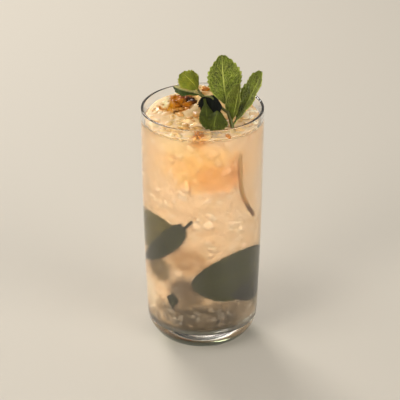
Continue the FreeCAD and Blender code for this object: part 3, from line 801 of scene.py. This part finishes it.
def make_crown(materials):
    """The crushed ice that stands out of the drink, worn and half melted; some of it is clear."""
    source = random.Random(CHUNK_SEED)
    cloudy, clear = [], []
    reach = inner_radius(LEVEL) - 2.4 * MM
    up = Vector((0, 0, 1))
    for x, y in disc_places(source, reach, 3.1 * MM):
        if amber_share(x, y) > 0.15:
            continue
        width = source.uniform(5.0, 10.5) * MM
        z = heap_height(x, y) - width * 0.14 + source.uniform(-0.5, 0.2) * MM
        width = min(width, 2 * (inner_radius(LEVEL) - 0.1 * MM - math.hypot(x, y)))
        if near_mint(x, y, z):
            continue
        kind = clear if source.random() < 0.04 else cloudy
        kind.append((Vector((x, y, z)), width, source.uniform(0.3, 0.5), up))
    piece = new_piece("crushed_ice", scatter(cloudy, source, 9), materials[0])
    melt_edges(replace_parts(piece, "ice_heap"))
    return melt_edges(new_piece("clear_ice", scatter(clear, source, 6), materials[1]))


def amber_height(x, y):
    """Top of the amber lump over its seat, at a place measured from its middle."""
    away = math.hypot(x, y) / AMBER_REACH
    return (AMBER_HIGH.z - AMBER_LOW.z - 1.7 * MM) * (1 - 0.72 * away**2) + 0.13 * (y - 0.35 * x)


def make_amber(material):
    """The lump that the amber syrup has soaked: small wet chunks over a lumpy heart."""
    source = random.Random(CHUNK_SEED + 1)
    up = Vector((0, 0, 1))
    places = []
    for x, y in disc_places(source, AMBER_REACH, 2.1 * MM):
        width = source.uniform(2.8, 7.0) * MM
        z = AMBER_LOW.z + amber_height(x, y) - width * 0.16
        where = Vector((AMBER_CENTRE[0] + x * 0.95, AMBER_CENTRE[1] + y * 0.95, z))
        places.append((where, width, source.uniform(0.35, 0.65), up))
    piece = new_piece("amber_lump", scatter(places, source, 7), material)
    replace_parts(piece, "amber_ice")
    bm = bmesh.new()
    bmesh.ops.create_icosphere(bm, subdivisions=4, radius=1.0)
    for vert in bm.verts:
        lump = 1 + 0.12 * noise.noise(vert.co * 3.1) + 0.06 * noise.noise(vert.co * 8)
        x, y = vert.co.x * AMBER_REACH * 0.86 * lump, vert.co.y * AMBER_REACH * 0.84 * lump
        z = max(0.0, vert.co.z) * (amber_height(x, y) - 0.6 * MM) + min(0.0, vert.co.z) * 3 * MM
        vert.co = Vector((AMBER_CENTRE[0] + x, AMBER_CENTRE[1] + y, AMBER_LOW.z + z))
    return new_piece("amber_heart", bm, material)


def make_stains(material):
    """Where the syrup has run: a bit at the back of the heap, and drops near the front wall."""
    source = random.Random(CHUNK_SEED + 2)
    places = []
    for centre, spread, count in STAINS:
        for _ in range(count):
            x = (centre[0] + source.gauss(0, spread * 0.5)) * MM
            y = (centre[1] + source.gauss(0, spread * 0.35)) * MM
            width = source.uniform(1.8, 3.4) * MM
            where = Vector((x, y, heap_height(x, y) + 0.1 * MM))
            places.append((where, width, 0.5, Vector((0, 0, 1))))
    return new_piece("amber_stains", scatter(places, source, 5), material)


def make_sunk_ice(material):
    """Crushed ice between the cloudy inside and the wall, all the way down."""
    source = random.Random(CHUNK_SEED + 3)
    places = []
    height = FLOOR + 2.0 * MM
    while height < LEVEL - 1.5 * MM:
        around = int(2 * math.pi * inner_radius(height) / (6.0 * MM))
        low_share = 1 - smooth_step(0.018, 0.034, height)
        for n in range(around):
            turn = 2 * math.pi * (n + source.uniform(-0.4, 0.4)) / around
            width = source.uniform(5.0, 10.0) * MM * (1 - 0.25 * low_share)
            z = height + source.uniform(-2.0, 2.0) * MM
            z = max(FLOOR + 0.42 * width, min(z, LEVEL - 0.42 * width))
            depth = CORE_GAP + (source.uniform(1.0, 2.2) - 1.9 * low_share) * MM
            ring = inner_radius(z - 0.35 * width) - depth
            out = Vector((math.cos(turn), math.sin(turn), 0))
            where = out * ring + Vector((0, 0, z))
            places.append((where, width, source.uniform(0.28, 0.5), out))
        height += 4.6 * MM
    return melt_edges(new_piece("sunk_ice", scatter(places, source, 9), material))


# ================================================================ the mint


def half_width(share, width, belly, fullness):
    """Half width along a leaf: the stalk, then a blade that is widest at the belly."""
    stalk = 0.75 * MM
    if share <= LEAF_STALK:
        return stalk
    blade = (share - LEAF_STALK) / (1 - LEAF_STALK)
    lean = math.log(0.5) / math.log(belly)
    full = math.sin(math.pi * min(blade, 0.998) ** lean) ** fullness
    return max(stalk * (1 - blade) + 0.1 * MM, width / 2 * full)


def saw(share):
    """Forward-leaning teeth along the edge of a blade, from 0 to 1."""
    blade = (share - LEAF_STALK) / (1 - LEAF_STALK)
    if blade < 0.08 or blade > 0.985:
        return 0.0
    tooth = (blade * LEAF_TEETH) % 1.0
    return tooth / 0.7 if tooth < 0.7 else (1 - tooth) / 0.3


def leaf_slab(length_count, across_count, place):
    """A thin flat slab, bent so that its share along and across sets where each point goes."""
    bm = bmesh.new()
    bmesh.ops.create_grid(bm, x_segments=length_count, y_segments=across_count, size=0.5)
    bmesh.ops.solidify(bm, geom=bm.faces[:], thickness=0.35 * MM)
    layer = bm.loops.layers.uv.new("leaf")
    for face in bm.faces:
        for loop in face.loops:
            loop[layer].uv = (loop.vert.co.x + 0.5, loop.vert.co.y + 0.5)
    for vert in bm.verts:
        vert.co = place(vert.co.x + 0.5, vert.co.y * 2, vert.co.z)
    return bm


def vein_relief(along, across, seed):
    """Relief of a blade: quilted pillows between the veins, a groove at the midrib."""
    side = abs(across)
    place = (along * VEIN_PAIRS - side * VEIN_SWEEP) % 1.0
    pillow = math.sin(math.pi * place) ** 0.6
    quilt = 0.5 - noise.voronoi(Vector((along * 26, across * 10, seed)))[0][0]
    groove = math.exp(-((side / 0.07) ** 2))
    return (pillow * 0.6 + quilt * 1.1) * min(1.0, side * 5) * (1 - side * 0.35) - 0.6 * groove


def make_leaf(name, spec, material):
    """A bowed and folded leaf of the sprig, quilted between its veins, with a saw edge."""
    start, tip, width, bow, fold, turn, belly, fullness = spec
    start, tip = Vector(start) * MM, Vector(tip) * MM
    width, bow = width * MM, bow * MM
    chord = tip - start
    side = Vector((0, 0, 1)).cross(chord).normalized()
    facing = chord.cross(side).normalized()
    rotate = Matrix.Rotation(math.radians(turn), 3, chord.normalized())
    side, facing = rotate @ side, rotate @ facing
    rise, spread = math.sin(math.radians(fold)), math.cos(math.radians(fold))
    seed = sum(ord(letter) for letter in name)

    def place(along, across, depth):
        centre = start + chord * along + facing * (bow * 4 * along * (1 - along))
        slope = chord + facing * (bow * 4 * (1 - 2 * along))
        up = slope.cross(side).normalized()
        half = half_width(along, width, belly, fullness)
        grown = min(1.0, max(0.0, along - LEAF_STALK) * 8)
        edge = abs(across) ** 5
        half *= 1 + 0.10 * (saw(along) - 0.4) * edge
        relief = vein_relief(along, across, seed) * 0.55 * MM * grown * half / (width / 2)
        wave = math.sin(along * 19 + seed + (2 if across > 0 else 0)) * edge * 0.4 * MM * grown
        lift = abs(across) ** 1.6 * half * rise + relief + wave
        reach = slope.normalized() * (edge * saw(along) * 0.6 * MM)
        return centre + side * (across * half * spread) + up * (lift + depth) + reach

    piece = new_piece("leaf_" + name, leaf_slab(130, 44, place), material)
    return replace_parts(piece, "mint_sprig")


def make_sunk_leaf(name, spec, materials):
    """A leaf pressed against the inside of the wall, which it follows round."""
    (bearing_0, height_0), (bearing_1, height_1), width, bend, depth, belly, fullness, finish = spec
    ring = inner_radius(0.06)
    start = Vector((math.radians(bearing_0) * ring, height_0 * MM))
    tip = Vector((math.radians(bearing_1) * ring, height_1 * MM))
    chord = tip - start
    side = Vector((-chord.y, chord.x)).normalized() * math.copysign(1, chord.x)
    width, depth, bend = width * MM, depth * MM, bend * MM
    seed = sum(ord(letter) for letter in name) * 0.37

    def place(along, across, thick):
        half = half_width(along, width, belly, fullness)
        half *= 1 + 0.05 * (saw(along) - 0.4) * abs(across) ** 5
        flat = start + chord * along + side * (across * half + math.sin(math.pi * along) * bend)
        sway = noise.noise(Vector((along * 2.6, across * 1.3, seed)))
        inward = depth + (0.5 + sway) * 0.5 * MM + vein_relief(along, across, seed) * 0.1 * MM + abs(thick)
        angle = flat.x / ring
        reach = inner_radius(flat.y) - inward
        return Vector((reach * math.cos(angle), reach * math.sin(angle), flat.y))

    return new_piece(name, leaf_slab(90, 30, place), materials[finish])


def make_stalk(name, route, thickness, thin_end, material):
    """A square stem: a small ring with worn corners, extruded along its route."""
    places = smooth_route(route, 9)
    bm = bmesh.new()
    rings = []
    for number, where in enumerate(places):
        before, after = places[max(0, number - 1)], places[min(len(places) - 1, number + 1)]
        along = (after - before).normalized()
        side = along.cross(Vector((0, 1, 0))).normalized()
        frame_axes = Matrix((side, along.cross(side), along)).transposed().to_4x4()
        share = number / (len(places) - 1)
        knot = 1 + 0.22 * math.exp(-((share - 0.62) / 0.03) ** 2)
        radius = thickness * MM / 2 * (1 - (1 - thin_end) * share) * 1.12 * knot
        made = bmesh.ops.create_circle(bm, segments=12, radius=radius,
                                       matrix=Matrix.Translation(where) @ frame_axes)
        for corner, vert in enumerate(made["verts"]):
            if corner % 3 == 0:
                vert.co = where + (vert.co - where) * 1.1
        rings.append({edge for vert in made["verts"] for edge in vert.link_edges})
    for ring, following in zip(rings, rings[1:]):
        bmesh.ops.bridge_loops(bm, edges=list(ring | following))
    bmesh.ops.holes_fill(bm, edges=[e for e in bm.edges if e.is_boundary], sides=0)
    piece = new_piece(name, bm, material)
    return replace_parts(piece, "mint_sprig")


# ================================================================ the studio


def make_floor():
    bm = bmesh.new()
    bmesh.ops.create_grid(bm, x_segments=1, y_segments=1, size=6.0)
    bmesh.ops.translate(bm, verts=bm.verts, vec=(0, 0, -0.05 * MM))
    mesh = bpy.data.meshes.new("studio_floor")
    bm.to_mesh(mesh)
    bm.free()
    material, _, _, shader = new_material("studio_floor")
    set_sockets(shader, Base_Color=srgb(206, 198, 184), Roughness=0.7)
    mesh.materials.append(material)
    floor = bpy.data.objects.new("studio_floor", mesh)
    bpy.context.scene.collection.objects.link(floor)


def add_light(name, where, aim, size, power, colour):
    data = bpy.data.lights.new(name, "AREA")
    data.shape = "DISK"
    data.size = size
    data.energy = power
    data.color = colour
    light = bpy.data.objects.new(name, data)
    light.location = where
    light.rotation_euler = (Vector(aim) - Vector(where)).to_track_quat("-Z", "Y").to_euler()
    bpy.context.scene.collection.objects.link(light)


def make_studio():
    make_floor()
    aim = (0, 0, 0.09)
    add_light("key_light", (-0.80, -0.90, 0.55), aim, 0.55, 6.0, (1.0, 0.96, 0.90))
    add_light("back_light", (-0.35, 0.85, 0.80), aim, 0.45, 7.5, (1.0, 0.97, 0.93))
    add_light("top_light", (-0.35, -0.25, 1.15), aim, 0.4, 2.8, (1.0, 0.98, 0.94))
    add_light("fill_light", (0.95, -0.75, 0.50), aim, 0.8, 6.8, (1.0, 0.98, 0.95))
    world = bpy.data.worlds.new("studio")
    world.use_nodes = True
    world.node_tree.nodes["Background"].inputs["Color"].default_value = (0.62, 0.62, 0.62, 1)
    world.node_tree.nodes["Background"].inputs["Strength"].default_value = 0.45
    bpy.context.scene.world = world
    bpy.context.scene.view_settings.view_transform = "Standard"


CAMERA_DISTANCE = 1.5
CAMERA_ELEVATION = 26.0        # degrees above the level
CAMERA_LENS = 233.2            # mm, on a sensor 36 mm wide
AIM_UP = 0.4215                # degrees above the middle of the glass
AIM_LEFT = 0.0597


def make_camera():
    """Looks along +Y and down at the middle of the glass, which sits a little off the centre."""
    data = bpy.data.cameras.new("camera")
    data.sensor_width = 36.0
    data.lens = CAMERA_LENS
    camera = bpy.data.objects.new("camera", data)
    elevation = math.radians(CAMERA_ELEVATION)
    camera.location = (0, -CAMERA_DISTANCE * math.cos(elevation),
                       RIM_HEIGHT / 2 + CAMERA_DISTANCE * math.sin(elevation))
    camera.rotation_euler = (math.radians(90 - CAMERA_ELEVATION + AIM_UP), 0, math.radians(AIM_LEFT))
    bpy.context.scene.collection.objects.link(camera)
    bpy.context.scene.camera = camera


# ================================================================ the whole drink


def make_drink():
    make_glass(clear_glass())
    make_liquid(clear_liquid())
    make_core(cloudy_drink())
    make_sunk_ice(sunk_ice())
    white = wet_ice("wet_white_ice", srgb(228, 192, 134), srgb(202, 154, 90), CROWN_TINTS, 0.6, 200.0, 0.05)
    amber = wet_ice("wet_amber_ice", srgb(220, 136, 14), srgb(124, 60, 2), AMBER_TINTS, 0.35, 330.0, 0.2)
    make_crown((white, glassy_ice()))
    make_amber(amber)
    make_stains(amber)
    finishes = {name: mint_leaf(name, *spec) for name, spec in LEAF_FINISHES.items()}
    for name, spec in LEAVES.items():
        make_leaf(name, spec, finishes[FINISH_OF_LEAF.get(name, "mint_leaf")])
    stem = mint_stem()
    make_stalk("stem", STEM_ROUTE, 2.4, 0.7, stem)
    make_stalk("side_shoot", SHOOT_ROUTE, 1.5, 0.6, stem)
    make_stalk("round_leaf_stalk", ROUND_STALK_ROUTE, 1.3, 0.9, stem)
    for name, spec in SUNK_LEAVES.items():
        make_sunk_leaf(name, spec, finishes)


make_drink()
make_studio()
make_camera()
